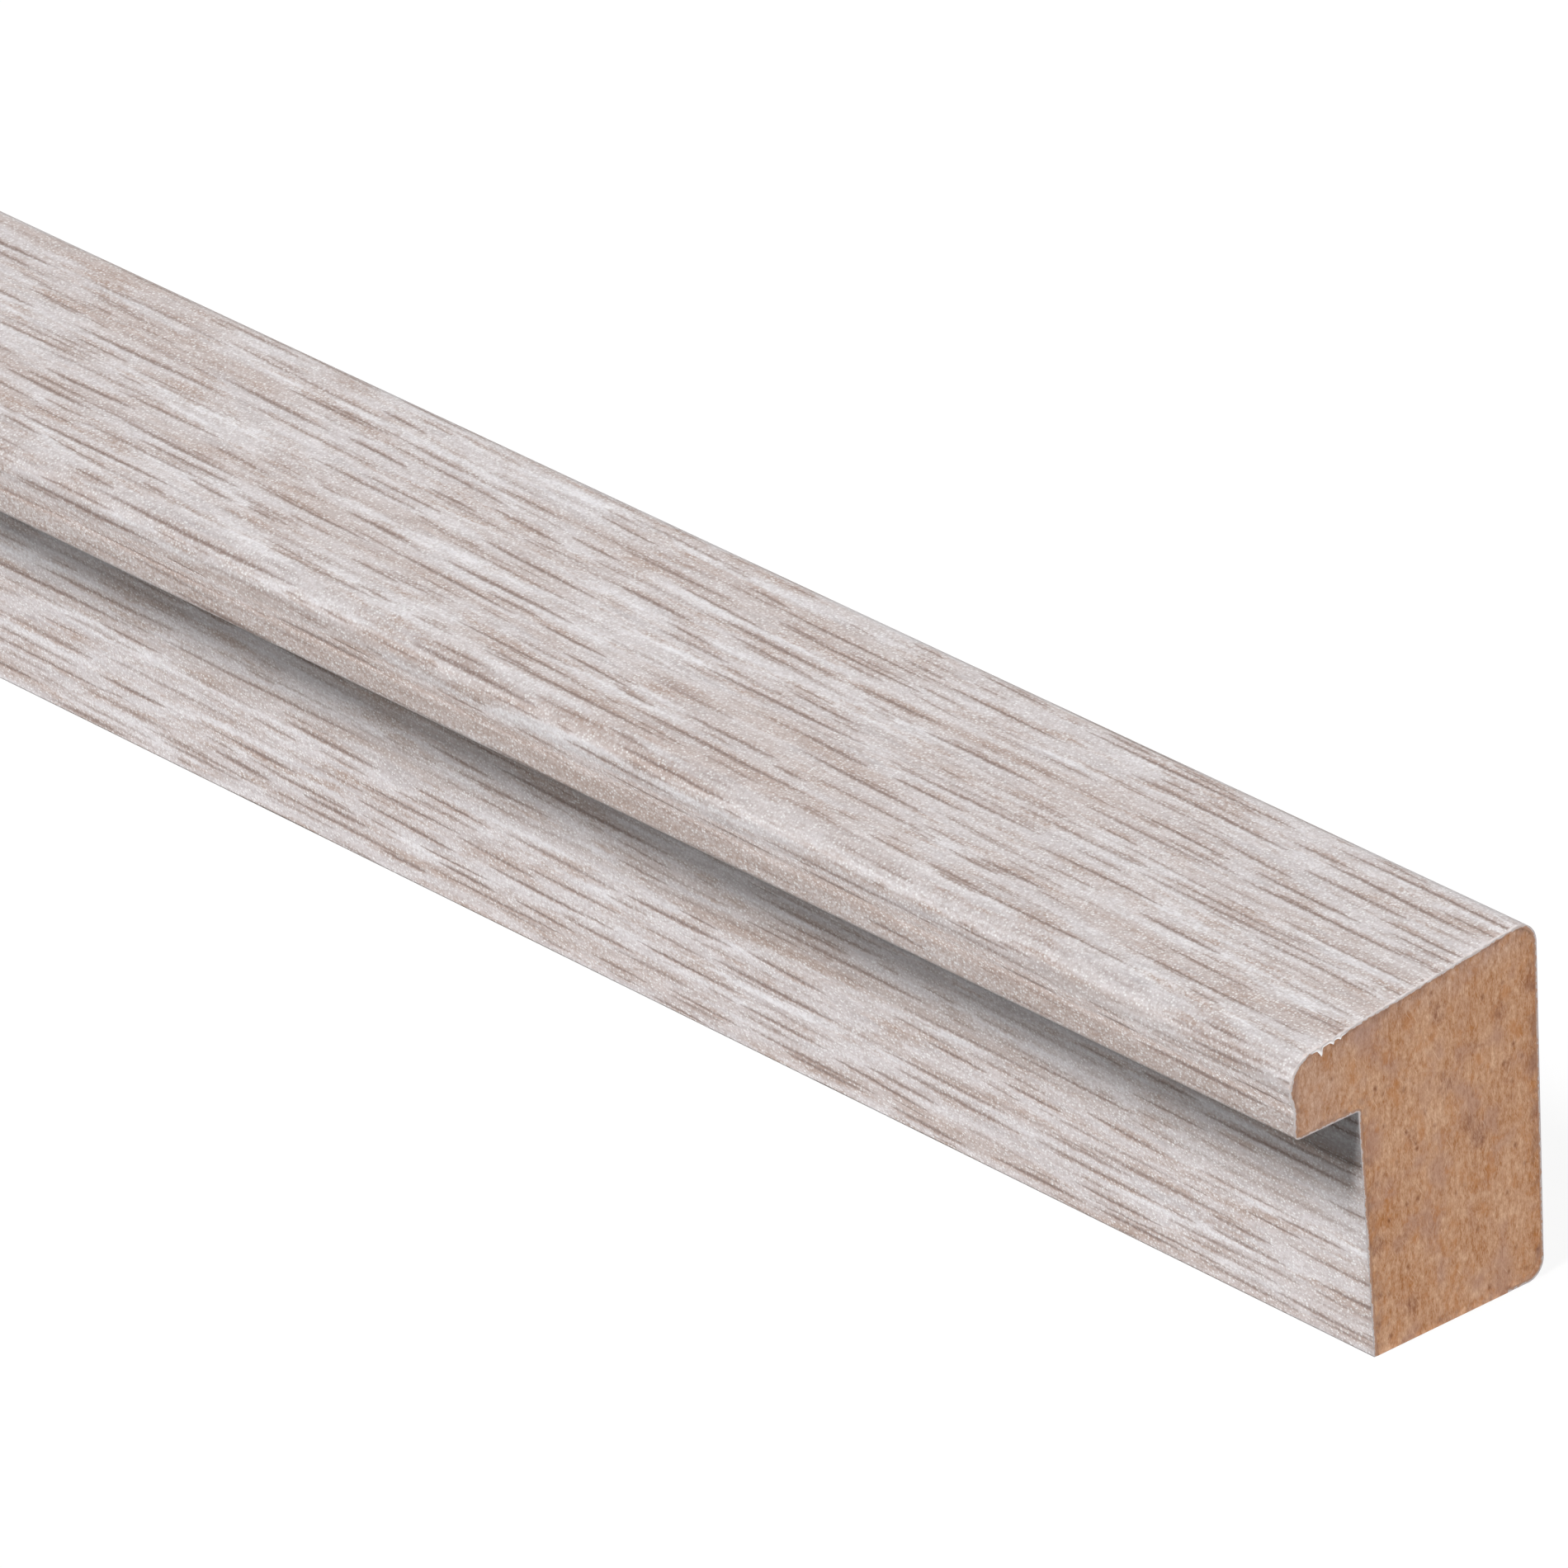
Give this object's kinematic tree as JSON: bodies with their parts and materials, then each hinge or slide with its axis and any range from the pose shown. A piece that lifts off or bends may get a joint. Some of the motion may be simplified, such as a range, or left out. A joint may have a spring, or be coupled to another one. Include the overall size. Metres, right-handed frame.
{
  "type": "panel end profile",
  "caption": "Straight L-section end moulding for wall panels: a fibreboard core wrapped in pale grey oak-look foil, with a lip that covers the panel's edge and a flat foot.",
  "frame": {"origin": "middle of the box's underside, on the plane of the foot", "axes": "+X along the length, +Y towards the plain back, -Y towards the lip, +Z from the foot to the face"},
  "size_m": [2.6, 0.02, 0.024],
  "materials": {
    "fibreboard": "matte",
    "decor_foil": "matte"
  },
  "bodies": {
    "root": {"mdf_core": "fibreboard", "decor_foil": "decor_foil"}
  },
  "joints": []
}
